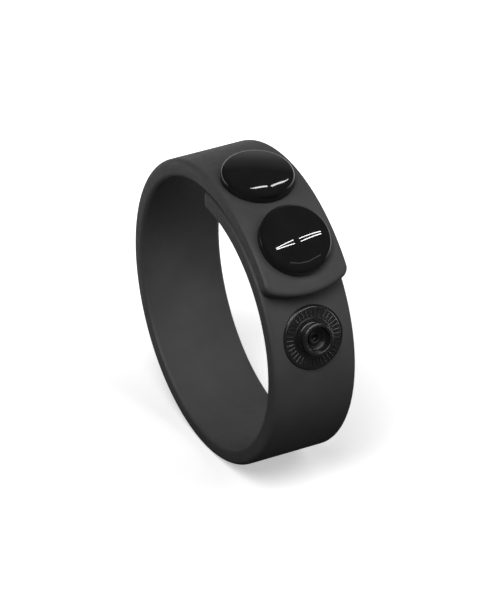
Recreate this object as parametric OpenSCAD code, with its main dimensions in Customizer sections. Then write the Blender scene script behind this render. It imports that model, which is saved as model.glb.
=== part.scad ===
// Wrist strap for static control: a moulded conductive rubber band, closed into a loop
// by two press studs, with a third bare stud for the ground lead.
// The loop's axis lies along Y. The overlapping ends are concentric about the loop
// centre; angles run from +X towards +Z. The loop stands on its outer surface at Z = 0.

/* [Band] */
// Width of the band
band_w = 18.6; // [17:0.1:24]
// Thickness of the band
band_t = 3.8; // [3.6:0.1:4.4]
// Radius of the band's rounded edges
edge_r = 1.1; // [0.4:0.1:1.6]
// Inside radius of the loop where its ends overlap
wrist_r = 26.4; // [25:0.1:36]
// Gap between the two overlapping layers
layer_gap = 0.2; // [0.1:0.05:0.5]
// Angle of the outer end's farthest point
tip_angle = 34; // [32:0.5:37]
// Angle of the inner end's farthest point
tail_angle = 97; // [95:0.5:110]
// Radius of the bowed outline of each end
end_bow_r = 19; // [14:0.5:40]
// Radius of the corners of each end
end_corner_r = 2.5; // [1:0.1:4]

/* [Press stud places] */
// Angle of the upper closing stud
upper_angle = 81.6; // [80:0.2:84]
// Angle of the lower closing stud
lower_angle = 53; // [51:0.2:55]
// Angle of the bare ground stud
ground_angle = 17.7; // [5:0.2:20]

/* [Stud] */
// Diameter of the stud's flange
flange_d = 13.3; // [12:0.1:14]
// Thickness of the stud's flange
flange_t = 1.3; // [0.8:0.1:1.5]
// How far the flange's top stands above the band
flange_rise = 0; // [-0.2:0.05:0.1]
// Diameter of the stud's head
post_d = 6.9; // [6.7:0.05:7.1]
// Diameter of the neck below the stud's head
neck_d = 6.2; // [5.8:0.05:6.4]
// Height of the post above the flange
post_h = 2.7; // [2.4:0.1:2.9]
// Height of the neck above the flange
neck_h = 1.25; // [1.2:0.05:1.4]
// Radius of the rolled lip on top of the post
lip_r = 0.45; // [0.2:0.05:0.5]
// Diameter of the bore in the post
post_bore_d = 5.1; // [4.4:0.1:5.4]
// Depth of the bore in the post
post_bore_depth = 2.3; // [1.6:0.1:2.4]
// Diameter of the low collar round the post
collar_d = 8.2; // [7.8:0.1:8.6]
// Height of the low collar
collar_h = 0.15; // [0.05:0.05:0.15]
// Number of grip ribs on the flange
rib_count = 38; // [12:1:48]
// Height of the grip ribs
rib_h = 0.15; // [0.05:0.05:0.15]
// Width of the grip ribs
rib_w = 0.32; // [0.2:0.02:0.4]
// Diameter of the circle where the ribs start
rib_in_d = 8.9; // [8.8:0.1:9.6]
// Diameter of the circle where the ribs end
rib_out_d = 11.9; // [10.6:0.1:12]

/* [Rivet] */
// Diameter of the rivet's skin-side head
head_d = 12; // [10:0.1:12.4]
// Thickness of the rivet's head
head_t = 1; // [0.6:0.1:1.4]
// Depth of the head's flat seat below the band's inner surface
head_seat = 0.2; // [0.05:0.05:0.4]
// Diameter of the rivet's shank
shank_d = 2; // [1.6:0.1:2.2]
// Diameter of the end that is set inside the post
set_end_d = 2.9; // [2.7:0.1:3.6]
// Height of the end that is set inside the post
set_end_h = 0.5; // [0.3:0.05:0.7]

/* [Socket and cap] */
// Diameter of the socket's flange
socket_d = 12.8; // [12:0.1:13.2]
// Thickness of the socket's flange
socket_flange_t = 0.8; // [0.4:0.1:1]
// Gap between the stud's flange and the socket
socket_gap = 0.3; // [0.3:0.05:0.5]
// Wall of the socket's barrel outside the spring ring's groove
barrel_wall = 0.5; // [0.4:0.05:0.6]
// Room round the stud's head in the socket
socket_room = 0.45; // [0.4:0.05:0.5]
// Diameter of the socket's spring wire
wire_d = 0.8; // [0.6:0.05:0.8]
// Opening left in the spring ring, in degrees
ring_gap = 30; // [15:1:60]
// Room between the spring ring and the stud's neck
ring_room = 0.15; // [0.1:0.05:0.2]
// Room above and below the spring ring in its groove
groove_side = 0.05; // [0.05:0.01:0.1]
// Height of the lip below the spring ring's groove
groove_lip = 0.3; // [0.3:0.05:0.35]
// Height of the barrel's flare
flare_t = 0.4; // [0.3:0.05:0.5]
// Diameter of the cap
cap_d = 15; // [14:0.1:15.4]
// Depth of the cap's seat below the band's outer surface
cap_seat = 0.6; // [0.4:0.05:0.8]
// Height of the cap's upright side
cap_side_h = 1.3; // [0.8:0.1:1.6]
// Radius of the cap's rounded shoulder
cap_shoulder_r = 1.3; // [0.8:0.1:1.6]
// Wall thickness of the cap
cap_wall = 0.5; // [0.3:0.05:0.6]
// Width of the flare that holds the barrel in the cap
flare_w = 0.7; // [0.4:0.1:1]

/* [Peel] */
// Angle to which the tip can be peeled back
peel_max = 34; // [30:1:36]
// Height of the flex line above the outer layer's inner surface
flex_h = 2.1; // [1.8:0.1:2.3]
// Gap between the band and its tip at the flex line
flex_gap = 0.3; // [0.2:0.05:0.4]

/* [Clearances] */
// Side clearance of each metal piece in its pocket
seat_gap = 0.1; // [0.05:0.05:0.2]
// Room round a stud's flange in the layer that lifts off it
lift_room = 0.6; // [0.55:0.05:0.7]

/* [Hidden] */
$fn = 96;

// Arc steps for a rounded corner in a turned profile
arc_steps = 6;
// Overshoot of a cutting shape
over = 1;
// How steeply the cap's shoulder ends before the crown takes over
crown_start = 75;

// Radii of the two concentric layers
inner_mid_r = wrist_r + band_t / 2;
inner_top_r = wrist_r + band_t;
outer_low_r = inner_top_r + layer_gap;
outer_top_r = outer_low_r + band_t;
outer_mid_r = outer_low_r + band_t / 2;

// The round back of the loop: two arcs that step from the outer layer to the inner one.
// The outer layer leaves the overlap straight above the loop's centre. The directions in
// which the arcs meet are those of 3-4-5 and 7-24-25 triangles, which makes them tangent.
lap_step = outer_mid_r - inner_mid_r;
lap_end_dir = [0, 1];
back_join_dir = [-0.8, -0.6];
lap_start_dir = [0.96, -0.28];
back_shift = lap_step / (2 + norm(lap_end_dir + lap_start_dir));
high_arc_c = back_shift * lap_end_dir;
high_arc_r = outer_mid_r - back_shift;
low_arc_c = -back_shift * lap_start_dir;
low_arc_r = inner_mid_r + back_shift;
// Length of a sector's rays, well outside the loop
ray = 100;

// Heights along a press stud's axis, counted from the loop's centre
head_top_s = wrist_r + head_seat;
flange_top_s = inner_top_r + flange_rise;
stud_seat_s = flange_top_s - flange_t;
post_top_s = flange_top_s + post_h;
post_floor_s = post_top_s - post_bore_depth;
socket_low_s = flange_top_s + socket_gap;
socket_web_s = socket_low_s + socket_flange_t;
cap_seat_s = outer_top_r - cap_seat;
flare_s = cap_seat_s + cap_wall;

// Spring ring and the groove that holds it
ring_inner_r = neck_d / 2 + ring_room;
ring_mid_r = ring_inner_r + wire_d / 2;
groove_low_s = socket_low_s + groove_lip;
ring_s = groove_low_s + groove_side + wire_d / 2;
socket_hole_r = post_d / 2 + socket_room;
groove_r = ring_inner_r + wire_d + socket_room;
barrel_d = 2 * (groove_r + barrel_wall);

// Where the loop's centre sits, so that the origin is below the middle of the whole strap
flex_angle = (upper_angle + lower_angle) / 2;
left_x = high_arc_c[0] - high_arc_r - band_t / 2;
right_x = (post_top_s - lip_r) * cos(ground_angle)
    + (post_d / 2 - lip_r) * sin(ground_angle) + lip_r;
loop_x = -(left_x + right_x) / 2;
loop_z = low_arc_r + band_t / 2 - low_arc_c[1];

function arc_points(c, r, a0, a1) =
    [for (i = [0:arc_steps]) let (a = a0 + (a1 - a0) * i / arc_steps) c + r * [cos(a), sin(a)]];

// Outline of a band end, its farthest point at the origin and the band towards -X
function end_outline() =
    let (
        side_y = band_w / 2 + over,
        corner_y = band_w / 2 - end_corner_r,
        corner_x = sqrt(pow(end_bow_r - end_corner_r, 2) - pow(corner_y, 2)) - end_bow_r,
        bow_a = atan2(corner_y, corner_x + end_bow_r),
        back_x = -2 * end_corner_r - band_w / 2
    )
    concat(
        [[back_x, -side_y], [corner_x, -side_y]],
        arc_points([corner_x, -corner_y], end_corner_r, -90, -bow_a),
        arc_points([-end_bow_r, 0], end_bow_r, -bow_a, bow_a),
        arc_points([corner_x, corner_y], end_corner_r, bow_a, 90),
        [[corner_x, side_y], [back_x, side_y]]
    );

// Moves a piece from the loop's centre to its place in the strap
module in_loop() {
    translate([loop_x, 0, loop_z]) children();
}

// Stands a piece on the radius at an angle: Z outwards, X towards the strap's outer tip
module at_angle(angle) {
    in_loop() rotate([0, 90 - angle, 0]) children();
}

module turned(points) {
    rotate_extrude() polygon(points);
}

// Cross-section of the band: x is the distance from the middle of its thickness
module band_section() {
    flat_w = band_w - 2 * edge_r;
    flat_t = band_t - 2 * edge_r;
    square([band_t, flat_w], center = true);
    square([flat_t, band_w], center = true);
    for (sx = [-1, 1]) {
        for (sy = [-1, 1]) {
            translate([sx * flat_t / 2, sy * flat_w / 2]) circle(edge_r);
        }
    }
}

function dir(angle) = [cos(angle), sin(angle)];

// A stretch of band bent about a centre, from the direction a to the direction b.
// The corner points lie between the two rays and complete the sector.
module band_arc(centre, mid_r, a, corners, b) {
    in_loop() rotate([90, 0, 0]) intersection() {
        translate([centre[0], centre[1], 0]) rotate_extrude() translate([mid_r, 0]) band_section();
        linear_extrude(band_w + 2 * over, center = true)
            polygon(concat([centre, centre + ray * a], ray * corners, [centre + ray * b]));
    }
}

// What is cut away to leave the bowed outline of an end. The outer tip faces the same way
// as the outline, and the inner tail is turned round.
module end_trim(angle, turned_round) {
    at_angle(angle) translate([0, 0, wrist_r - band_t]) mirror([turned_round ? 1 : 0, 0, 0])
        linear_extrude(outer_top_r - wrist_r + 2 * band_t) difference() {
            translate([-band_w / 4, -band_w]) square([band_w, 2 * band_w]);
            polygon(end_outline());
        }
}

// Flex line between the two caps: a groove that closes as the tip is peeled back
module flex_notch() {
    hinge_s = outer_low_r + flex_h;
    top_s = outer_top_r + over;
    low_s = outer_low_r - layer_gap / 2;
    half = flex_gap / 2;
    spread = half + (top_s - hinge_s) * tan(peel_max / 2);
    at_angle(flex_angle) rotate([90, 0, 0]) linear_extrude(band_w + 2 * over, center = true)
        polygon([
            [-half, low_s], [half, low_s], [half, hinge_s],
            [spread, top_s], [-spread, top_s], [-half, hinge_s]
        ]);
}

// Pockets in the inner layer for one stud and its rivet
module stud_pockets(angle) {
    at_angle(angle) {
        translate([0, 0, wrist_r - over]) cylinder(d = shank_d + 2 * seat_gap, h = band_t + over);
        translate([0, 0, stud_seat_s]) cylinder(d = flange_d + 2 * seat_gap, h = band_t);
        translate([0, 0, head_top_s - 3 * head_t]) cylinder(d = head_d + 2 * seat_gap, h = 3 * head_t);
    }
}

// Pockets in the outer layer for one socket and its cap
module socket_pockets(angle) {
    at_angle(angle) {
        translate([0, 0, socket_low_s - over]) cylinder(d = barrel_d + 2 * seat_gap, h = 2 * band_t);
        translate([0, 0, socket_web_s - 3 * over])
            cylinder(d = flange_d + 2 * lift_room, h = 3 * over);
        translate([0, 0, cap_seat_s]) cylinder(d = cap_d + 2 * seat_gap, h = band_t);
    }
}

module band() {
    color([0.13, 0.13, 0.13]) {
        difference() {
            union() {
                band_arc([0, 0], outer_mid_r, dir(flex_angle), [], lap_end_dir);
                band_arc(high_arc_c, high_arc_r, lap_end_dir, [[-1, 1]], back_join_dir);
            }
            flex_notch();
            socket_pockets(upper_angle);
        }
        band_arc(low_arc_c, low_arc_r, back_join_dir, [[0, -1]], lap_start_dir);
        difference() {
            band_arc([0, 0], inner_mid_r, lap_start_dir, [[1, 1]], dir(tail_angle + 1));
            end_trim(tail_angle, true);
            stud_pockets(upper_angle);
            stud_pockets(lower_angle);
            stud_pockets(ground_angle);
        }
    }
}

module band_tip() {
    color([0.13, 0.13, 0.13]) difference() {
        band_arc([0, 0], outer_mid_r, dir(tip_angle - 1), [], dir(flex_angle));
        flex_notch();
        end_trim(tip_angle, false);
        socket_pockets(lower_angle);
    }
}

// Turned stud with its ribbed flange, necked post and rolled lip
module stud(angle) {
    rim_r = flange_t / 2;
    top = flange_t;
    head_z = top + neck_h;
    head_step = (post_d - neck_d) / 2;
    lip_c = [post_d / 2 - lip_r, top + post_h - lip_r];
    floor_z = top + post_h - post_bore_depth;
    hole_r = shank_d / 2 + seat_gap;
    color([0.05, 0.05, 0.055]) at_angle(angle) translate([0, 0, stud_seat_s]) {
        difference() {
            turned(concat(
                [[hole_r, 0]],
                arc_points([flange_d / 2 - rim_r, rim_r], rim_r, -90, 90),
                [
                    [collar_d / 2, top], [collar_d / 2, top + collar_h],
                    [neck_d / 2, top + collar_h], [neck_d / 2, head_z],
                    [post_d / 2, head_z + head_step]
                ],
                arc_points(lip_c, lip_r, 0, 90),
                [[hole_r, top + post_h]]
            ));
            translate([0, 0, floor_z]) cylinder(d = post_bore_d, h = post_h);
        }
        for (i = [0:rib_count - 1]) {
            rotate([0, 0, i * 360 / rib_count]) translate([rib_in_d / 2, -rib_w / 2, top - rib_h])
                cube([(rib_out_d - rib_in_d) / 2, rib_w, 2 * rib_h]);
        }
    }
}

// Rivet from the skin side, its end set inside the stud's post
module rivet(angle) {
    edge = head_t / 2;
    shank_top = post_floor_s - head_top_s;
    dimple_r = set_end_d / 4;
    color([0.05, 0.05, 0.055]) at_angle(angle) translate([0, 0, head_top_s]) difference() {
        union() {
            turned(concat(
                [[0, -head_t]],
                arc_points([head_d / 2 - edge, -edge], edge, -90, 90),
                [[0, 0]]
            ));
            translate([0, 0, -head_t / 2]) cylinder(d = shank_d, h = shank_top + head_t);
            translate([0, 0, shank_top]) cylinder(d = set_end_d, h = set_end_h);
        }
        translate([0, 0, shank_top + set_end_h]) sphere(dimple_r);
    }
}

// Socket that clips over a stud; its barrel is flared over the cap's base
module socket(angle) {
    flare_top = flare_s + flare_t;
    color([0.06, 0.06, 0.065]) at_angle(angle) turned([
        [socket_hole_r, socket_low_s], [socket_d / 2, socket_low_s],
        [socket_d / 2, socket_web_s], [barrel_d / 2, socket_web_s],
        [barrel_d / 2, flare_s], [barrel_d / 2 + flare_w, flare_s],
        [barrel_d / 2 + flare_w, flare_top], [socket_hole_r, flare_top],
        [socket_hole_r, groove_low_s + wire_d + 2 * groove_side],
        [groove_r, groove_low_s + wire_d + 2 * groove_side],
        [groove_r, groove_low_s], [socket_hole_r, groove_low_s]
    ]);
}

// Split spring ring that snaps under the stud's head
module spring_ring(angle) {
    color([0.7, 0.71, 0.73]) at_angle(angle) translate([0, 0, ring_s])
        rotate([0, 0, 90 + ring_gap / 2])
        rotate_extrude(angle = 360 - ring_gap) translate([ring_mid_r, 0]) circle(d = wire_d);
}

// Outer or inner skin of a cap, as a profile above its seat
function cap_profile(r, base, side, shoulder) =
    let (
        end_x = r - shoulder + shoulder * cos(crown_start),
        end_z = base + side + shoulder * sin(crown_start),
        crown_r = end_x / cos(crown_start)
    )
    concat(
        [[0, base], [r, base]],
        arc_points([r - shoulder, base + side], shoulder, 0, crown_start),
        arc_points([0, end_z - crown_r * sin(crown_start)], crown_r, crown_start, 90)
    );

// Crowned cap shell with its base curled in under the shoulder
module cap(angle) {
    inner_shoulder = cap_shoulder_r - cap_wall;
    color([0.04, 0.04, 0.045]) at_angle(angle) translate([0, 0, cap_seat_s]) difference() {
        turned(cap_profile(cap_d / 2, 0, cap_side_h, cap_shoulder_r));
        turned(cap_profile(cap_d / 2 - cap_wall, cap_wall, cap_side_h - cap_wall, inner_shoulder));
        translate([0, 0, -over]) cylinder(d = barrel_d + 2 * seat_gap, h = 2 * over);
    }
}

module ground_stud() { stud(ground_angle); }
module ground_rivet() { rivet(ground_angle); }
module lower_stud() { stud(lower_angle); }
module lower_rivet() { rivet(lower_angle); }
module lower_socket() { socket(lower_angle); }
module lower_spring_ring() { spring_ring(lower_angle); }
module lower_cap() { cap(lower_angle); }
module upper_stud() { stud(upper_angle); }
module upper_rivet() { rivet(upper_angle); }
module upper_socket() { socket(upper_angle); }
module upper_spring_ring() { spring_ring(upper_angle); }
module upper_cap() { cap(upper_angle); }

band();
band_tip();
ground_stud();
ground_rivet();
lower_stud();
lower_rivet();
lower_socket();
lower_spring_ring();
lower_cap();
upper_stud();
upper_rivet();
upper_socket();
upper_spring_ring();
upper_cap();
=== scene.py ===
import math

import bmesh
import bpy
import numpy as np
from mathutils import Matrix, Vector


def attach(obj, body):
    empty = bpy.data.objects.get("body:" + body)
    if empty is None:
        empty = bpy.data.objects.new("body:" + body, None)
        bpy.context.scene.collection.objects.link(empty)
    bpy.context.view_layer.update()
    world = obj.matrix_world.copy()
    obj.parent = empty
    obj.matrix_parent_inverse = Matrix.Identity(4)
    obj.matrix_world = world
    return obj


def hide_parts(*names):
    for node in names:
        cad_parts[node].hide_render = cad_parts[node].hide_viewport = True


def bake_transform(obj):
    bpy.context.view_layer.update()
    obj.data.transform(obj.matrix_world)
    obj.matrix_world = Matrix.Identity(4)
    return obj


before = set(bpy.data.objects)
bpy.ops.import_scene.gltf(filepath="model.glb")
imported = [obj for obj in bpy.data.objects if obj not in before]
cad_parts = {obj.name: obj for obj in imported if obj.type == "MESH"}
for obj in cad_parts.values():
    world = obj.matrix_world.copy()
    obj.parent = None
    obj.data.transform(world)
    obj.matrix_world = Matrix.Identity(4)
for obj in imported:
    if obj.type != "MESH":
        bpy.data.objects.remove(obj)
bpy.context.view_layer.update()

# ---- Studio
# A white sweep of floor that the strap stands on, a white surround, the camera, and three
# broad lamps from the right and above. The lamps give light and shadow but no reflections.
MM = 0.001
VIEW_AZ, VIEW_EL = math.radians(62.205), math.radians(31.17)
view_back = Vector((
    math.sin(VIEW_AZ) * math.cos(VIEW_EL),
    -math.cos(VIEW_AZ) * math.cos(VIEW_EL),
    math.sin(VIEW_EL),
))
view_right = Vector((math.cos(VIEW_AZ), math.sin(VIEW_AZ), 0.0))
view_up = view_back.cross(view_right)
view_target = Vector((0.009, 1.115, 33.135)) * MM
CAMERA_LENS, CAMERA_SENSOR = 260.74, 36.0
CAMERA_AWAY = 0.892

camera_data = bpy.data.cameras.new("camera")
camera_data.lens = CAMERA_LENS
camera_data.sensor_width = CAMERA_SENSOR
camera_data.clip_start = 0.05
camera_data.clip_end = 20.0
camera = bpy.data.objects.new("camera", camera_data)
bpy.context.scene.collection.objects.link(camera)
turn = Matrix((view_right, view_up, view_back)).transposed().to_4x4()
camera.matrix_world = Matrix.Translation(view_target + view_back * CAMERA_AWAY) @ turn
bpy.context.scene.camera = camera
bpy.context.scene.view_settings.view_transform = "Standard"


def new_material(name):
    mat = bpy.data.materials.new(name)
    mat.use_nodes = True
    mat.node_tree.nodes.clear()
    return mat, mat.node_tree.nodes, mat.node_tree.links


def node_maths(nodes, links, operation, a, b=None):
    node = nodes.new("ShaderNodeMath")
    node.operation = operation
    for socket, value in zip(node.inputs, (a, b)):
        if isinstance(value, (int, float)):
            socket.default_value = value
        elif value is not None:
            links.new(value, socket)
    return node.outputs[0]


# Colours and glow of the sweep, and where its glow and its reflection change, in metres
FLOOR_HALF = 4.0
FLOOR_SEEN, FLOOR_BOUNCE, FLOOR_GLOW = 0.82, 0.06, 0.455
# Painted light: between these distances the sweep's glow rises and lifts the strap's cast shadow
GLOW_FROM, GLOW_TO = 0.02, 0.12
MIRRORED_TO, MIRRORED_GLOW = 0.10, 0.9
AWAY = (-0.885, 0.466, 0.0)
floor_mesh = bpy.data.meshes.new("floor")
floor_mesh.from_pydata(
    [(-FLOOR_HALF, -FLOOR_HALF, 0), (FLOOR_HALF, -FLOOR_HALF, 0),
     (FLOOR_HALF, FLOOR_HALF, 0), (-FLOOR_HALF, FLOOR_HALF, 0)],
    [], [(0, 1, 2, 3)])
floor = bpy.data.objects.new("floor", floor_mesh)
bpy.context.scene.collection.objects.link(floor)
floor_mat, nodes, links = new_material("floor_white")
path = nodes.new("ShaderNodeLightPath")
seen = node_maths(nodes, links, "MAXIMUM", path.outputs["Is Camera Ray"],
                  path.outputs["Is Transmission Ray"])
tone = nodes.new("ShaderNodeMix")
tone.data_type = "RGBA"
tone.inputs["A"].default_value = (FLOOR_BOUNCE, FLOOR_BOUNCE, FLOOR_BOUNCE, 1)
tone.inputs["B"].default_value = (FLOOR_SEEN, FLOOR_SEEN, FLOOR_SEEN, 1)
links.new(seen, tone.inputs["Factor"])
diffuse = nodes.new("ShaderNodeBsdfDiffuse")
links.new(tone.outputs["Result"], diffuse.inputs["Color"])
# In reflections the sweep is white behind the strap and falls dark in front of it
coords = nodes.new("ShaderNodeTexCoord")
ahead = nodes.new("ShaderNodeVectorMath")
ahead.operation = "DOT_PRODUCT"
ahead.inputs[1].default_value = AWAY
links.new(coords.outputs["Object"], ahead.inputs[0])
behind = nodes.new("ShaderNodeMapRange")
behind.inputs["From Min"].default_value = 0.0
behind.inputs["From Max"].default_value = MIRRORED_TO
behind.inputs["To Max"].default_value = MIRRORED_GLOW
links.new(ahead.outputs["Value"], behind.inputs["Value"])
mirrored = node_maths(nodes, links, "MULTIPLY", path.outputs["Is Glossy Ray"],
                      behind.outputs[0])
# Painted light: the sweep's own glow rises away from the strap and lifts its far cast shadow
reach = nodes.new("ShaderNodeVectorMath")
reach.operation = "LENGTH"
links.new(coords.outputs["Object"], reach.inputs[0])
shadow_lift_glow = nodes.new("ShaderNodeMapRange")
shadow_lift_glow.inputs["From Min"].default_value = GLOW_FROM
shadow_lift_glow.inputs["From Max"].default_value = GLOW_TO
shadow_lift_glow.inputs["To Min"].default_value = FLOOR_GLOW
links.new(reach.outputs["Value"], shadow_lift_glow.inputs["Value"])
glow = nodes.new("ShaderNodeEmission")
links.new(node_maths(nodes, links, "ADD", mirrored,
                     node_maths(nodes, links, "MULTIPLY", seen, shadow_lift_glow.outputs[0])),
          glow.inputs["Strength"])
both = nodes.new("ShaderNodeAddShader")
links.new(diffuse.outputs[0], both.inputs[0])
links.new(glow.outputs[0], both.inputs[1])
out = nodes.new("ShaderNodeOutputMaterial")
links.new(both.outputs[0], out.inputs["Surface"])
floor_mesh.materials.append(floor_mat)

# The surround is white to the camera. In reflections it is dark, and brightens towards
# one side behind the strap; the levels are given along that direction.
SKY_TOWARDS = (-0.85, 0.45, 0.27)
SKY_FIRST, SKY_LAST = 0.03, 0.45
SKY_BETWEEN = ((0.45, 0.03), (0.65, 0.035), (0.84, 0.045), (0.95, 0.22))
world = bpy.data.worlds.new("studio")
bpy.context.scene.world = world
world.use_nodes = True
nodes, links = world.node_tree.nodes, world.node_tree.links
nodes.clear()
coords = nodes.new("ShaderNodeTexCoord")
facing = nodes.new("ShaderNodeVectorMath")
facing.operation = "DOT_PRODUCT"
facing.inputs[1].default_value = SKY_TOWARDS
links.new(coords.outputs["Generated"], facing.inputs[0])
ramp = nodes.new("ShaderNodeValToRGB")
ramp.color_ramp.elements[0].position = 0.0
ramp.color_ramp.elements[0].color = (SKY_FIRST, SKY_FIRST, SKY_FIRST, 1)
ramp.color_ramp.elements[1].position = 1.0
ramp.color_ramp.elements[1].color = (SKY_LAST, SKY_LAST, SKY_LAST, 1)
for place, level in SKY_BETWEEN:
    stop = ramp.color_ramp.elements.new(place)
    stop.color = (level, level, level, 1)
links.new(facing.outputs["Value"], ramp.inputs["Fac"])
sky = nodes.new("ShaderNodeBackground")
links.new(ramp.outputs["Color"], sky.inputs["Color"])
white = nodes.new("ShaderNodeBackground")
white.inputs["Color"].default_value = (1, 1, 1, 1)
path = nodes.new("ShaderNodeLightPath")
links.new(path.outputs["Is Glossy Ray"], sky.inputs["Strength"])
pick = nodes.new("ShaderNodeMixShader")
links.new(path.outputs["Is Camera Ray"], pick.inputs["Fac"])
links.new(sky.outputs[0], pick.inputs[1])
links.new(white.outputs[0], pick.inputs[2])
out = nodes.new("ShaderNodeOutputWorld")
links.new(pick.outputs[0], out.inputs["Surface"])


def lamp(name, direction, distance, size_x, size_y, power, shows_in_gloss, long_axis=None):
    """An area lamp that faces the strap from a direction."""
    data = bpy.data.lights.new(name, "AREA")
    data.shape = "RECTANGLE"
    data.size = size_x
    data.size_y = size_y
    data.energy = power
    obj = bpy.data.objects.new(name, data)
    bpy.context.scene.collection.objects.link(obj)
    back = Vector(direction).normalized()
    side = Vector(long_axis) if long_axis else Vector((0, 0, 1)).cross(back)
    side = (side - side.dot(back) * back).normalized()
    obj.matrix_world = (
        Matrix.Translation(view_target + back * distance)
        @ Matrix((side, back.cross(side), back)).transposed().to_4x4())
    obj.visible_glossy = shows_in_gloss
    return obj


LAMP_AT = 1.7
lamp("key", (0.406, -0.406, 0.819), LAMP_AT, 0.9, 0.9, 20.7, False)
lamp("side", (0.641, 0.641, 0.423), LAMP_AT, 2.2, 1.8, 12.5, False)
lamp("high", (0.406, 0.406, 0.819), LAMP_AT, 0.9, 0.9, 5.6, False)

# ---- Band
# One moulded strip of conductive rubber with soft rounded edges and bowed ends, closed
# over itself. The outer end is a piece of its own, because it peels back at the flex line.
LOOP_X, LOOP_Z = 0.337018, 31.1
BAND_W, BAND_T, EDGE_R = 18.6, 3.8, 1.1
TIP_ANGLE, TAIL_ANGLE, FLEX_ANGLE = 34.0, 97.0, 67.3
END_BOW_R, END_CORNER_R = 19.0, 2.5
# Centre, radius of the mid-line and angles of each stretch, from the tip to the tail
STRETCHES = (
    ((0.0, 0.0), 32.3, TIP_ANGLE, 90.0),
    ((0.0, 1.25), 31.05, 90.0, 216.8699),
    ((-1.2, 0.35), 29.55, 216.8699, 343.7398),
    ((0.0, 0.0), 28.3, 343.7398, 360.0 + TAIL_ANGLE),
)
STRETCH_STARTS = [0.0]
for _, radius, a0, a1 in STRETCHES:
    STRETCH_STARTS.append(STRETCH_STARTS[-1] + radius * math.radians(a1 - a0))
# The outer end's skin runs this many degrees past the top and meets the loop's skin there
SEAM_PAST_TOP = 13.0
SEAM_AT = STRETCH_STARTS[1] + STRETCHES[1][1] * math.radians(SEAM_PAST_TOP)
# Mesh: quads across, steps of the edge's rounding and of an end's corner, and the last
# length in which square rows turn into bowed ones
ACROSS, FILLET_STEPS, CORNER_STEPS = 48, 7, 10
ROW_LENGTH, MORPH_LENGTH, MORPH_ROWS = 0.4, 9.0, 22


def end_curve(inset, reach_r, mid_r):
    """Bowed end of the strip: how far back from the tip, and how far to the side."""
    corner_y = BAND_W / 2 - END_CORNER_R
    corner_x = math.sqrt((END_BOW_R - END_CORNER_R) ** 2 - corner_y ** 2) - END_BOW_R
    bow = math.atan2(corner_y, corner_x + END_BOW_R)
    points = []
    for i in range(CORNER_STEPS):
        a = -math.pi / 2 + (math.pi / 2 - bow) * i / CORNER_STEPS
        r = END_CORNER_R - inset
        points.append((corner_x + r * math.cos(a), -corner_y + r * math.sin(a)))
    bow_n = ACROSS - 2 * CORNER_STEPS
    for i in range(bow_n + 1):
        a = -bow + 2 * bow * i / bow_n
        r = END_BOW_R - inset
        points.append((-END_BOW_R + r * math.cos(a), r * math.sin(a)))
    for i in range(1, CORNER_STEPS + 1):
        a = bow + (math.pi / 2 - bow) * i / CORNER_STEPS
        r = END_CORNER_R - inset
        points.append((corner_x + r * math.cos(a), corner_y + r * math.sin(a)))
    xy = np.array(points)
    back = mid_r * np.arcsin(np.clip(-xy[:, 0] / reach_r, -1, 1))
    return np.column_stack([back, xy[:, 1]])


def strip(name, cut_at, end_at, reach_r, mid_r):
    """Flat strip, x along its length: cut square at cut_at, bowed at end_at."""
    toward = 1.0 if end_at > cut_at else -1.0
    straight_n = max(2, int(round((abs(end_at - cut_at) - MORPH_LENGTH) / ROW_LENGTH)))
    n = straight_n + MORPH_ROWS
    start = end_at - toward * MORPH_LENGTH
    even = np.linspace(-1, 1, ACROSS + 1)

    def sheet(inset):
        curve = end_curve(inset, reach_r, mid_r)
        y0 = even * (BAND_W / 2 - inset)
        x = np.zeros((n + 1, ACROSS + 1))
        y = np.zeros((n + 1, ACROSS + 1))
        for i in range(n + 1):
            if i <= straight_n:
                x[i], y[i] = cut_at + (start - cut_at) * i / straight_n, y0
            else:
                t = (i - straight_n) / MORPH_ROWS
                x[i] = start + t * (end_at - toward * curve[:, 0] - start)
                y[i] = y0 + t * (curve[:, 1] - y0)
        return x, y

    rim = ([(i, 0) for i in range(n)] + [(n, j) for j in range(ACROSS)]
           + [(i, ACROSS) for i in range(n, 0, -1)] + [(0, j) for j in range(ACROSS, 0, -1)])
    gi = np.array([p[0] for p in rim])
    gj = np.array([p[1] for p in rim])
    half = BAND_T / 2
    x, y = sheet(EDGE_R)
    cols = ACROSS + 1
    verts = [np.column_stack([x.ravel(), y.ravel(), np.full(x.size, half)]),
             np.column_stack([x.ravel(), y.ravel(), np.full(x.size, -half)])]
    rings = [gi * cols + gj]
    count = 2 * x.size
    levels = []
    for k in range(1, FILLET_STEPS + 1):
        phi = math.pi / 2 * (1 - k / FILLET_STEPS)
        levels.append((EDGE_R * (1 - math.cos(phi)), half - EDGE_R + EDGE_R * math.sin(phi)))
    levels += [(0.0, 0.0)] + [(d, -h) for d, h in reversed(levels)]
    for inset, h in levels:
        x, y = sheet(inset)
        verts.append(np.column_stack([x[gi, gj], y[gi, gj], np.full(len(rim), h)]))
        rings.append(np.arange(count, count + len(rim)))
        count += len(rim)
    rings.append(rings[0] + x.size)
    faces = []
    for i in range(n):
        for j in range(ACROSS):
            a = i * cols + j
            faces.append((a, a + 1, a + cols + 1, a + cols))
            b = a + x.size
            faces.append((b, b + cols, b + cols + 1, b + 1))
    for upper, lower in zip(rings[:-1], rings[1:]):
        up, down = upper.tolist(), lower.tolist()
        for p in range(len(rim)):
            q = (p + 1) % len(rim)
            faces.append((up[p], up[q], down[q], down[p]))
    mesh = bpy.data.meshes.new(name)
    mesh.from_pydata((np.vstack(verts) * MM).tolist(), [], faces)
    obj = bpy.data.objects.new(name, mesh)
    bpy.context.scene.collection.objects.link(obj)
    return obj


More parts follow.
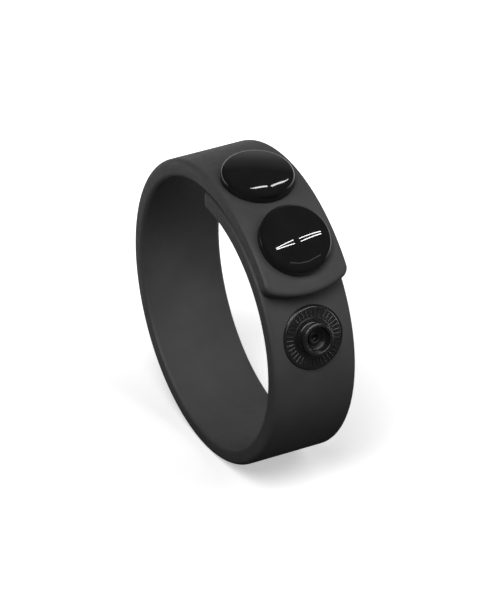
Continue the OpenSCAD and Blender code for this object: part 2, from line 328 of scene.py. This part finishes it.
def tree_with_inputs(name, sockets):
    tree = bpy.data.node_groups.new(name, "GeometryNodeTree")
    tree.interface.new_socket("Geometry", in_out="INPUT", socket_type="NodeSocketGeometry")
    for label, kind in sockets:
        tree.interface.new_socket(label, in_out="INPUT", socket_type="NodeSocket" + kind)
    tree.interface.new_socket("Geometry", in_out="OUTPUT", socket_type="NodeSocketGeometry")
    return tree, tree.nodes.new("NodeGroupInput"), tree.nodes.new("NodeGroupOutput")


def maths(tree, operation, a, b=None):
    node = tree.nodes.new("ShaderNodeMath")
    node.operation = operation
    for socket, value in zip(node.inputs, (a, b)):
        if isinstance(value, (int, float)):
            socket.default_value = value
        elif value is not None:
            tree.links.new(value, socket)
    return node.outputs[0]


def finish_tree(tree, geometry, material, output):
    """Realize Instances and Set Material close every tree."""
    real = tree.nodes.new("GeometryNodeRealizeInstances")
    tree.links.new(geometry, real.inputs["Geometry"])
    paint = tree.nodes.new("GeometryNodeSetMaterial")
    tree.links.new(real.outputs["Geometry"], paint.inputs["Geometry"])
    tree.links.new(material, paint.inputs["Material"])
    tree.links.new(paint.outputs["Geometry"], output.inputs["Geometry"])


def bend_tree():
    """Bends a flat strip along stretches of arc, each with its own centre and radius."""
    sockets = [("Material", "Material")]
    for k in range(len(STRETCHES)):
        sockets += [(f"Stretch {k + 1} {what}", "Float")
                    for what in ("start", "angle", "radius", "centre X", "centre Z")]
    tree, inp, outp = tree_with_inputs("bend_strip", sockets)
    where = tree.nodes.new("GeometryNodeInputPosition")
    split = tree.nodes.new("ShaderNodeSeparateXYZ")
    tree.links.new(where.outputs[0], split.inputs[0])
    along, side, rise = split.outputs
    placed = None
    for k in range(len(STRETCHES)):
        start, angle, radius, cx, cz = (
            inp.outputs[f"Stretch {k + 1} {what}"]
            for what in ("start", "angle", "radius", "centre X", "centre Z"))
        run = maths(tree, "SUBTRACT", along, start)
        theta = maths(tree, "ADD", angle, maths(tree, "DIVIDE", run, radius))
        reach = maths(tree, "ADD", radius, rise)
        x = maths(tree, "ADD", cx, maths(tree, "MULTIPLY", reach, maths(tree, "COSINE", theta)))
        z = maths(tree, "ADD", cz, maths(tree, "MULTIPLY", reach, maths(tree, "SINE", theta)))
        point = tree.nodes.new("ShaderNodeCombineXYZ")
        for source, socket in zip((x, side, z), point.inputs):
            tree.links.new(source, socket)
        if placed is None:
            placed = point.outputs[0]
        else:
            choose = tree.nodes.new("GeometryNodeSwitch")
            choose.input_type = "VECTOR"
            tree.links.new(maths(tree, "GREATER_THAN", along, start), choose.inputs["Switch"])
            tree.links.new(placed, choose.inputs["False"])
            tree.links.new(point.outputs[0], choose.inputs["True"])
            placed = choose.outputs[0]
    move = tree.nodes.new("GeometryNodeSetPosition")
    tree.links.new(inp.outputs["Geometry"], move.inputs["Geometry"])
    tree.links.new(placed, move.inputs["Position"])
    finish_tree(tree, move.outputs["Geometry"], inp.outputs["Material"], outp)
    return tree


def run_tree(obj, tree, values):
    """Evaluates a tree on obj and keeps the result as obj's own plain mesh."""
    modifier = obj.modifiers.new("shape", "NODES")
    modifier.node_group = tree
    for item in tree.interface.items_tree:
        if item.in_out == "INPUT" and item.name in values:
            modifier[item.identifier] = values[item.name]
    bake_modifiers(obj)


def bake_modifiers(obj):
    bpy.context.view_layer.update()
    graph = bpy.context.evaluated_depsgraph_get()
    mesh = bpy.data.meshes.new_from_object(obj.evaluated_get(graph))
    old = obj.data
    obj.modifiers.clear()
    obj.data = mesh
    mesh.name = obj.name
    bpy.data.meshes.remove(old)


def grain(nodes, links, scale, detail=2.0):
    """Noise on Object coordinates, scale in features per metre."""
    coords = nodes.new("ShaderNodeTexCoord")
    noise = nodes.new("ShaderNodeTexNoise")
    noise.inputs["Scale"].default_value = scale
    noise.inputs["Detail"].default_value = detail
    links.new(coords.outputs["Object"], noise.inputs["Vector"])
    return noise.outputs["Fac"]


def spread(nodes, links, fac, low, high):
    """Maps noise around its middle to a range."""
    node = nodes.new("ShaderNodeMapRange")
    node.inputs["From Min"].default_value = 0.3
    node.inputs["From Max"].default_value = 0.7
    node.inputs["To Min"].default_value = low
    node.inputs["To Max"].default_value = high
    links.new(fac, node.inputs["Value"])
    return node.outputs[0]


def surface(name, dark, light, tone_scale, rough, rough_scale, bump_scale, bump_mm, metal=0.0,
            ior=1.5):
    """Principled finish with mottled colour, uneven roughness and a fine relief."""
    mat, nodes, links = new_material(name)
    shader = nodes.new("ShaderNodeBsdfPrincipled")
    shader.inputs["Metallic"].default_value = metal
    shader.inputs["IOR"].default_value = ior
    tone = nodes.new("ShaderNodeMix")
    tone.data_type = "RGBA"
    tone.inputs["A"].default_value = (*dark, 1)
    tone.inputs["B"].default_value = (*light, 1)
    links.new(spread(nodes, links, grain(nodes, links, tone_scale, 3), 0, 1), tone.inputs["Factor"])
    links.new(tone.outputs["Result"], shader.inputs["Base Color"])
    links.new(spread(nodes, links, grain(nodes, links, rough_scale), *rough),
              shader.inputs["Roughness"])
    bump = nodes.new("ShaderNodeBump")
    bump.inputs["Strength"].default_value = 1.0
    bump.inputs["Distance"].default_value = bump_mm * MM
    links.new(grain(nodes, links, bump_scale, 2), bump.inputs["Height"])
    links.new(bump.outputs[0], shader.inputs["Normal"])
    out = nodes.new("ShaderNodeOutputMaterial")
    links.new(shader.outputs[0], out.inputs["Surface"])
    return mat


def snap_matrix(angle):
    """Stands a turned piece on the radius at an angle: Z outwards, X towards the tip."""
    c, s = math.cos(math.radians(angle)), math.sin(math.radians(angle))
    return Matrix(((s, 0, c, LOOP_X * MM), (0, 1, 0, 0), (-c, 0, s, LOOP_Z * MM), (0, 0, 0, 1)))


def lathe(name, profile, segments=128):
    """Closed turned mesh from (radius, height) points in mm, round Z."""
    verts, faces, rows = [], [], []
    for r, z in profile:
        if r < 1e-6:
            rows.append([len(verts)])
            verts.append((0, 0, z * MM))
        else:
            rows.append(list(range(len(verts), len(verts) + segments)))
            for k in range(segments):
                a = 2 * math.pi * k / segments
                verts.append((r * math.cos(a) * MM, r * math.sin(a) * MM, z * MM))
    pairs = list(zip(rows[:-1], rows[1:]))
    if len(rows[0]) > 1:
        pairs.append((rows[-1], rows[0]))
    for low, high in pairs:
        for k in range(segments):
            q = (k + 1) % segments
            if len(low) == 1 and len(high) == 1:
                continue
            if len(low) == 1:
                faces.append((low[0], high[q], high[k]))
            elif len(high) == 1:
                faces.append((low[k], low[q], high[0]))
            else:
                faces.append((low[k], low[q], high[q], high[k]))
    mesh = bpy.data.meshes.new(name)
    mesh.from_pydata(verts, [], faces)
    obj = bpy.data.objects.new(name, mesh)
    bpy.context.scene.collection.objects.link(obj)
    face_outwards(mesh)
    return obj


def face_outwards(mesh):
    work = bmesh.new()
    work.from_mesh(mesh)
    bmesh.ops.remove_doubles(work, verts=work.verts, dist=1e-7)
    bmesh.ops.recalc_face_normals(work, faces=work.faces)
    work.to_mesh(mesh)
    work.free()


def smooth(obj, sharp_over=40.0):
    obj.data.shade_smooth()
    obj.data.set_sharp_from_angle(angle=math.radians(sharp_over))


# Angles of the three snaps up from the front, and where the caps sit on the outer layer
UPPER, LOWER, GROUND = 81.6, 53.0, 17.7
CAP_R, CAP_SEAT_S = 7.5, 33.6
# How deep a cap draws the rubber in, how far round it, and how far below and above its seat
DRAWN_IN, DRAWN_ROUND, DRAWN_BELOW, DRAWN_ABOVE = 0.22, 1.3, 1.2, 3.0
# Room round a cap, and where a cutter ends clear of the rubber
CAP_ROOM, CUT_PAST = 0.03, 39.0
rubber = surface("band_rubber", (0.056, 0.056, 0.057), (0.067, 0.067, 0.067), 140,
                 (0.50, 0.60), 900, 4200, 0.012, ior=1.42)
bend = bend_tree()
bend_values = {"Material": rubber}
for k, (centre, radius, a0, _) in enumerate(STRETCHES):
    bend_values[f"Stretch {k + 1} start"] = STRETCH_STARTS[k] * MM
    bend_values[f"Stretch {k + 1} angle"] = math.radians(a0)
    bend_values[f"Stretch {k + 1} radius"] = radius * MM
    bend_values[f"Stretch {k + 1} centre X"] = (centre[0] + LOOP_X) * MM
    bend_values[f"Stretch {k + 1} centre Z"] = (centre[1] + LOOP_Z) * MM


def press_in(obj, angle, seat_s, radius, depth):
    """Draws the rubber in softly round a hard piece."""
    mesh = obj.data
    co = np.zeros(len(mesh.vertices) * 3)
    mesh.vertices.foreach_get("co", co)
    co = co.reshape(-1, 3)
    m = np.array(snap_matrix(angle))
    local = (co - m[:3, 3]) @ m[:3, :3] / MM
    r = np.hypot(local[:, 0], local[:, 1])
    t = np.clip((radius + DRAWN_ROUND - r) / DRAWN_ROUND, 0, 1)
    w = t * t * (3 - 2 * t)
    near = local[:, 2] > seat_s - DRAWN_BELOW
    near &= local[:, 2] < seat_s + DRAWN_ABOVE
    local[:, 2] -= np.where(near, w * depth, 0)
    co = (local * MM) @ m[:3, :3].T + m[:3, 3]
    mesh.vertices.foreach_set("co", co.ravel())


def cut_pockets(obj, profile, angles):
    """Cuts the stepped round pockets that hold the snap pieces."""
    cutters = []
    for angle in angles:
        cutter = lathe(f"{obj.name}_cutter", profile, 96)
        cutter.data.transform(snap_matrix(angle))
        cutters.append(cutter)
        modifier = obj.modifiers.new("pocket", "BOOLEAN")
        modifier.operation = "DIFFERENCE"
        modifier.solver = "EXACT"
        modifier.object = cutter
    bake_modifiers(obj)
    for cutter in cutters:
        bpy.data.meshes.remove(cutter.data)


outer_end = strip("band_outer_end", SEAM_AT, 0.0, 34.2, 32.3)
run_tree(outer_end, bend, bend_values)
face_outwards(outer_end.data)
for angle in (UPPER, LOWER):
    press_in(outer_end, angle, CAP_SEAT_S, CAP_R, DRAWN_IN)
cut_pockets(outer_end, [(0, 28.0), (7.25, 28.0), (7.25, 31.3), (5.1, 31.3), (5.1, CAP_SEAT_S),
                        (CAP_R + CAP_ROOM, CAP_SEAT_S), (CAP_R + CAP_ROOM, CUT_PAST),
                        (0, CUT_PAST)],
            (UPPER, LOWER))
smooth(outer_end)

band_loop = strip("band_loop", SEAM_AT, STRETCH_STARTS[-1], 28.3, 28.3)
run_tree(band_loop, bend, bend_values)
face_outwards(band_loop.data)
cut_pockets(band_loop, [(0, 23.6), (6.03, 23.6), (6.03, 26.6), (1.1, 26.6), (1.1, 28.9),
                        (6.68, 28.9), (6.68, 32.0), (0, 32.0)],
            (UPPER, LOWER, GROUND))
smooth(band_loop)
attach(band_loop, "band")
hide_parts("band")

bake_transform(outer_end)
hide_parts("band_tip")


# ---- Studs
# Three turned studs with a knurled flange, a low collar and a necked hollow post that the
# sockets snap over; plated black. The lowest one stays bare for the ground lead.
def arc(cx, cz, r, a0, a1, n):
    return [(cx + r * math.cos(math.radians(a0 + (a1 - a0) * k / n)),
             cz + r * math.sin(math.radians(a0 + (a1 - a0) * k / n))) for k in range(n + 1)]


FLANGE_R, FLANGE_T = 6.65, 1.3
POST_R, NECK_R, POST_H, NECK_H, LIP_R = 3.45, 3.1, 2.7, 1.25, 0.45
BORE_R, BORE_DEPTH = 2.55, 2.3
STUD_SEAT_S = 28.9
RIB_COUNT, RIB_START_R, RIB_END_R, RIB_W = 38, 4.45, 5.95, 0.32
stud_profile = (
    [(1.1, 0.0)]
    + arc(FLANGE_R - 0.65, 0.65, 0.65, -90, 90, 12)
    + [(4.2, FLANGE_T), (4.1, FLANGE_T + 0.04), (4.04, FLANGE_T + 0.15),
       (NECK_R + 0.08, FLANGE_T + 0.15), (NECK_R, FLANGE_T + 0.23),
       (NECK_R, FLANGE_T + NECK_H - 0.05), (NECK_R + 0.04, FLANGE_T + NECK_H),
       (POST_R - 0.04, FLANGE_T + NECK_H + 0.31), (POST_R, FLANGE_T + NECK_H + 0.38)]
    + arc(POST_R - LIP_R, FLANGE_T + POST_H - LIP_R, LIP_R, 0, 90, 8)
    + arc(BORE_R + 0.22, FLANGE_T + POST_H - 0.22, 0.22, 90, 180, 5)
    + [(BORE_R, FLANGE_T + POST_H - BORE_DEPTH + 0.35)]
    + arc(BORE_R - 0.35, FLANGE_T + POST_H - BORE_DEPTH + 0.35, 0.35, 0, -90, 5)
    + [(1.1, FLANGE_T + POST_H - BORE_DEPTH)]
)
snap_black = surface("snap_black", (0.010, 0.010, 0.0103), (0.015, 0.015, 0.0153), 700,
                     (0.17, 0.28), 2600, 5200, 0.004, ior=1.9)

sockets = [("Material", "Material"), ("Rib count", "Int"), ("Start radius", "Float"),
           ("End radius", "Float"), ("Rib width", "Float"), ("Flange height", "Float")]
ribs, inp, outp = tree_with_inputs("knurled_flange", sockets)
circle = ribs.nodes.new("GeometryNodeMeshCircle")
ribs.links.new(inp.outputs["Rib count"], circle.inputs["Vertices"])
middle = maths(ribs, "MULTIPLY", maths(
    ribs, "ADD", inp.outputs["Start radius"], inp.outputs["End radius"]), 0.5)
ribs.links.new(middle, circle.inputs["Radius"])
bar = ribs.nodes.new("GeometryNodeMeshCylinder")
bar.inputs["Vertices"].default_value = 12
ribs.links.new(maths(ribs, "MULTIPLY", inp.outputs["Rib width"], 0.5), bar.inputs["Radius"])
ribs.links.new(maths(ribs, "SUBTRACT", inp.outputs["End radius"], inp.outputs["Start radius"]),
               bar.inputs["Depth"])
lay = ribs.nodes.new("GeometryNodeTransform")
lay.inputs["Rotation"].default_value = (0, math.pi / 2, 0)
ribs.links.new(bar.outputs["Mesh"], lay.inputs["Geometry"])
index = ribs.nodes.new("GeometryNodeInputIndex")
step = maths(ribs, "DIVIDE", 2 * math.pi, inp.outputs["Rib count"])
facing = ribs.nodes.new("ShaderNodeCombineXYZ")
ribs.links.new(maths(ribs, "MULTIPLY", index.outputs[0], step), facing.inputs["Z"])
spin = ribs.nodes.new("FunctionNodeEulerToRotation")
ribs.links.new(facing.outputs[0], spin.inputs[0])
place = ribs.nodes.new("GeometryNodeInstanceOnPoints")
ribs.links.new(circle.outputs["Mesh"], place.inputs["Points"])
ribs.links.new(lay.outputs["Geometry"], place.inputs["Instance"])
ribs.links.new(spin.outputs[0], place.inputs["Rotation"])
rise = ribs.nodes.new("ShaderNodeCombineXYZ")
ribs.links.new(inp.outputs["Flange height"], rise.inputs["Z"])
lift = ribs.nodes.new("GeometryNodeTransform")
ribs.links.new(place.outputs["Instances"], lift.inputs["Geometry"])
ribs.links.new(rise.outputs[0], lift.inputs["Translation"])
join = ribs.nodes.new("GeometryNodeJoinGeometry")
ribs.links.new(inp.outputs["Geometry"], join.inputs[0])
ribs.links.new(lift.outputs["Geometry"], join.inputs[0])
finish_tree(ribs, join.outputs[0], inp.outputs["Material"], outp)


def place_on(obj, angle, body, node):
    """Moves a turned piece to its angle, hangs it on its body and hides its CAD node."""
    obj.data.transform(snap_matrix(angle))
    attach(obj, body)
    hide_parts(node)


for node, angle in (("ground_stud", GROUND), ("lower_stud", LOWER), ("upper_stud", UPPER)):
    stud = lathe(node + "_turned", stud_profile)
    run_tree(stud, ribs, {
        "Material": snap_black, "Rib count": RIB_COUNT, "Start radius": RIB_START_R * MM,
        "End radius": RIB_END_R * MM, "Rib width": RIB_W * MM, "Flange height": FLANGE_T * MM})
    smooth(stud, 35)
    stud.data.transform(Matrix.Translation((0, 0, STUD_SEAT_S * MM)))
    place_on(stud, angle, "band", node)

# ---- Rivets
# Each stud is held by a rivet from the skin side: a thin round head that touches the wrist
# and a shank whose end is set in the post, with a dimple from the setting punch.
HEAD_R, HEAD_T, HEAD_TOP_S = 6.0, 1.0, 26.6
SHANK_R, SET_R, SET_H, DIMPLE_R = 1.0, 1.45, 0.5, 0.725
POST_FLOOR = STUD_SEAT_S + FLANGE_T + POST_H - BORE_DEPTH - HEAD_TOP_S
rivet_profile = (
    [(0.0, -HEAD_T + 0.02), (3.0, -HEAD_T + 0.01)]
    + arc(HEAD_R - 0.5, -0.5, 0.5, -90, 90, 10)
    + [(SHANK_R + 0.1, 0.0), (SHANK_R, 0.1), (SHANK_R, POST_FLOOR), (SET_R, POST_FLOOR)]
    + arc(SET_R - 0.18, POST_FLOOR + SET_H - 0.18, 0.18, 0, 90, 4)
    + [(0.86, POST_FLOOR + SET_H), (0.74, POST_FLOOR + SET_H - 0.06)]
    + [(DIMPLE_R * math.cos(math.radians(a)),
        POST_FLOOR + SET_H - DIMPLE_R * math.sin(math.radians(a))) for a in (20, 35, 50, 65, 80)]
    + [(0.0, POST_FLOOR + SET_H - DIMPLE_R)]
)
rivet_black = surface("skin_rivet", (0.006, 0.006, 0.0065), (0.012, 0.012, 0.012), 500,
                      (0.20, 0.34), 1800, 4600, 0.006)
for node, angle in (("ground_rivet", GROUND), ("lower_rivet", LOWER), ("upper_rivet", UPPER)):
    rivet = lathe(node + "_set", rivet_profile)
    rivet.data.materials.append(rivet_black)
    smooth(rivet, 35)
    rivet.data.transform(Matrix.Translation((0, 0, HEAD_TOP_S * MM)))
    place_on(rivet, angle, "band", node)

# ---- Sockets and spring rings
# A socket clips over each closing stud; its barrel passes through the band and is flared
# inside the cap. A split ring of spring wire sits in its groove and grips under the post.
SOCKET_R, SOCKET_LOW, SOCKET_WEB, BARREL_R, HOLE_R = 6.4, 30.5, 31.3, 5.0, 3.9
GROOVE_R, GROOVE_LOW, WIRE_R, RING_R, GROOVE_SIDE = 4.5, 30.8, 0.4, 3.65, 0.05
FLARE_S, FLARE_TOP, FLARE_R = 34.1, 34.5, 5.7
groove_high = GROOVE_LOW + 2 * (WIRE_R + GROOVE_SIDE)
socket_profile = (
    [(HOLE_R, SOCKET_LOW + 0.12), (HOLE_R + 0.12, SOCKET_LOW)]
    + arc(SOCKET_R - 0.25, SOCKET_LOW + 0.25, 0.25, -90, 0, 5)
    + arc(SOCKET_R - 0.25, SOCKET_WEB - 0.25, 0.25, 0, 90, 5)
    + [(BARREL_R + 0.15, SOCKET_WEB), (BARREL_R, SOCKET_WEB + 0.15), (BARREL_R, FLARE_S),
       (FLARE_R, FLARE_S), (FLARE_R, FLARE_TOP - 0.1), (FLARE_R - 0.1, FLARE_TOP),
       (HOLE_R, FLARE_TOP), (HOLE_R, groove_high), (GROOVE_R, groove_high),
       (GROOVE_R, GROOVE_LOW), (HOLE_R, GROOVE_LOW)]
)
wire = surface("spring_wire", (0.50, 0.50, 0.51), (0.62, 0.62, 0.62), 1500,
               (0.22, 0.36), 3000, 6000, 0.004, metal=1.0)
# The ring's opening in degrees, and its mesh: sides round the wire and steps along it
RING_GAP, WIRE_SIDES, RING_STEPS = 30.0, 20, 72


def split_ring(name):
    """Round wire bent to a circle that stays open, with softly rounded ends."""
    rows, verts, faces = [], [], []
    last = RING_STEPS
    path = [(-1, 0.35), (-0.6, 0.8), (0, 1.0)] + [(k, 1.0) for k in range(1, last)]
    path += [(last, 1.0), (last + 0.6, 0.8), (last + 1, 0.35)]
    span = math.radians(360 - RING_GAP)
    start = math.radians(90 + RING_GAP / 2)
    for k, thick in path:
        a = start + span * min(max(k / last, 0), 1)
        a += (k if k < 0 else k - last if k > last else 0) * WIRE_R * 0.5 / RING_R
        row = []
        for j in range(WIRE_SIDES):
            b = 2 * math.pi * j / WIRE_SIDES
            r = RING_R + WIRE_R * thick * math.cos(b)
            row.append(len(verts))
            verts.append((r * math.cos(a) * MM, r * math.sin(a) * MM,
                          WIRE_R * thick * math.sin(b) * MM))
        rows.append(row)
    for low, high in zip(rows[:-1], rows[1:]):
        for j in range(WIRE_SIDES):
            q = (j + 1) % WIRE_SIDES
            faces.append((low[j], low[q], high[q], high[j]))
    faces.append(tuple(reversed(rows[0])))
    faces.append(tuple(rows[-1]))
    mesh = bpy.data.meshes.new(name)
    mesh.from_pydata(verts, [], faces)
    obj = bpy.data.objects.new(name, mesh)
    bpy.context.scene.collection.objects.link(obj)
    face_outwards(mesh)
    return obj


for side, angle, body in (("lower", LOWER, "tip"), ("upper", UPPER, "band")):
    socket = lathe(side + "_socket_turned", socket_profile)
    socket.data.materials.append(snap_black)
    smooth(socket, 35)
    place_on(socket, angle, body, side + "_socket")
    ring = split_ring(side + "_split_ring")
    ring.data.materials.append(wire)
    smooth(ring, 50)
    ring.data.transform(Matrix.Translation((0, 0, (GROOVE_LOW + GROOVE_SIDE + WIRE_R) * MM)))
    place_on(ring, angle, body, side + "_spring_ring")

# ---- Caps
# Two crowned cap shells, pressed from sheet and finished in high gloss black. Each stands
# on the band over its socket, whose flared barrel holds the cap's base from inside.
CAP_SIDE, SHOULDER, CAP_WALL, CROWN_FROM, CAP_HOLE_R = 1.3, 1.3, 0.5, 75.0, 5.1


def cap_skin(r, base, side, shoulder, steps):
    end_x = r - shoulder + shoulder * math.cos(math.radians(CROWN_FROM))
    end_z = base + side + shoulder * math.sin(math.radians(CROWN_FROM))
    crown_r = end_x / math.cos(math.radians(CROWN_FROM))
    top_c = end_z - crown_r * math.sin(math.radians(CROWN_FROM))
    return (arc(r - shoulder, base + side, shoulder, 0, CROWN_FROM, steps)
            + arc(0, top_c, crown_r, CROWN_FROM, 90, 2 * steps)[1:])


outer_skin = cap_skin(CAP_R, 0.0, CAP_SIDE, SHOULDER, 14)
inner_skin = cap_skin(CAP_R - CAP_WALL, CAP_WALL, CAP_SIDE - CAP_WALL, SHOULDER - CAP_WALL, 8)
outer_skin[-1] = (0.0, outer_skin[-1][1])
inner_skin[-1] = (0.0, inner_skin[-1][1])
cap_profile = (
    list(reversed(outer_skin))
    + arc(CAP_R - 0.15, 0.15, 0.15, 0, -90, 4)
    + [(CAP_HOLE_R, 0.0), (CAP_HOLE_R, CAP_WALL), (CAP_R - CAP_WALL, CAP_WALL)]
    + inner_skin
)
cap_gloss = surface("cap_gloss", (0.0085, 0.0085, 0.0087), (0.011, 0.011, 0.011), 300,
                    (0.02, 0.035), 420, 260, 0.0005)
for side, angle, body in (("lower", LOWER, "tip"), ("upper", UPPER, "band")):
    cap = lathe(side + "_cap_shell", cap_profile, 160)
    cap.data.materials.append(cap_gloss)
    smooth(cap, 40)
    cap.data.transform(Matrix.Translation((0, 0, CAP_SEAT_S * MM)))
    place_on(cap, angle, body, side + "_cap")

# ---- Lamps that only show in reflections
# Thin strips for the caps' streaks and broader cards for the bare stud and the band's
# edges. Each shows only in the gloss of its own pieces and lights nothing else.
STRIP_AT = 1.3


def strip_lamps(name, strips, seen_in):
    """Each strip: the directions where it starts and ends, its breadth and its power."""
    receivers = bpy.data.collections.new(name)
    for piece in seen_in:
        receivers.objects.link(bpy.data.objects[piece])
    for number, (first, last, breadth, power) in enumerate(strips):
        ends = [view_target + Vector(d).normalized() * STRIP_AT for d in (first, last)]
        middle = (ends[0] + ends[1]) / 2 - view_target
        across = ends[1] - ends[0]
        obj = lamp(f"{name}_{number + 1}", middle, middle.length, across.length, breadth, power,
                   True, long_axis=across)
        obj.visible_diffuse = False
        obj.light_linking.receiver_collection = receivers


strip_lamps("lower_cap_streaks", (
    ((0.440, 0.000, 0.898), (0.363, 0.301, 0.877), 0.012, 0.7),
    ((0.343, 0.390, 0.847), (0.167, 0.696, 0.665), 0.012, 0.8),
    ((0.456, 0.004, 0.890), (0.415, 0.300, 0.850), 0.012, 0.7),
    ((0.385, 0.395, 0.823), (0.198, 0.693, 0.656), 0.012, 0.8),
    ((0.660, 0.125, 0.740), (0.672, 0.270, 0.690), 0.014, 0.012),
    ((0.672, 0.270, 0.690), (0.640, 0.410, 0.655), 0.014, 0.012),
    ((0.640, 0.410, 0.655), (0.509, 0.614, 0.603), 0.014, 0.018),
), ["lower_cap_shell"])
strip_lamps("upper_cap_streak", (
    ((-0.225, 0.121, 0.967), (-0.203, 0.345, 0.917), 0.034, 0.6),
    ((-0.192, 0.390, 0.900), (-0.297, 0.638, 0.711), 0.034, 0.7),
), ["upper_cap_shell"])
# Three cards that draw the bright arc on the bare stud's rim and the glints on its ribs
strip_lamps("stud_card", (
    ((0.30, -0.66, 0.70), (-0.02, 0.60, 0.80), 0.30, 5.0),
    ((0.86, -0.26, 0.50), (0.56, 0.54, 0.66), 0.22, 2.4),
    ((0.60, 0.79, 0.04), (0.56, 0.78, 0.26), 0.16, 0.9),
), ["ground_stud_turned", "ground_rivet_set"])
# A card low beside the strap that draws a thin light line along the band's rounded edges
strip_lamps("edge_card", (
    ((0.02, -0.92, 0.36), (0.30, -0.84, 0.44), 0.25, 7.5),
), ["band_loop", "band_outer_end"])
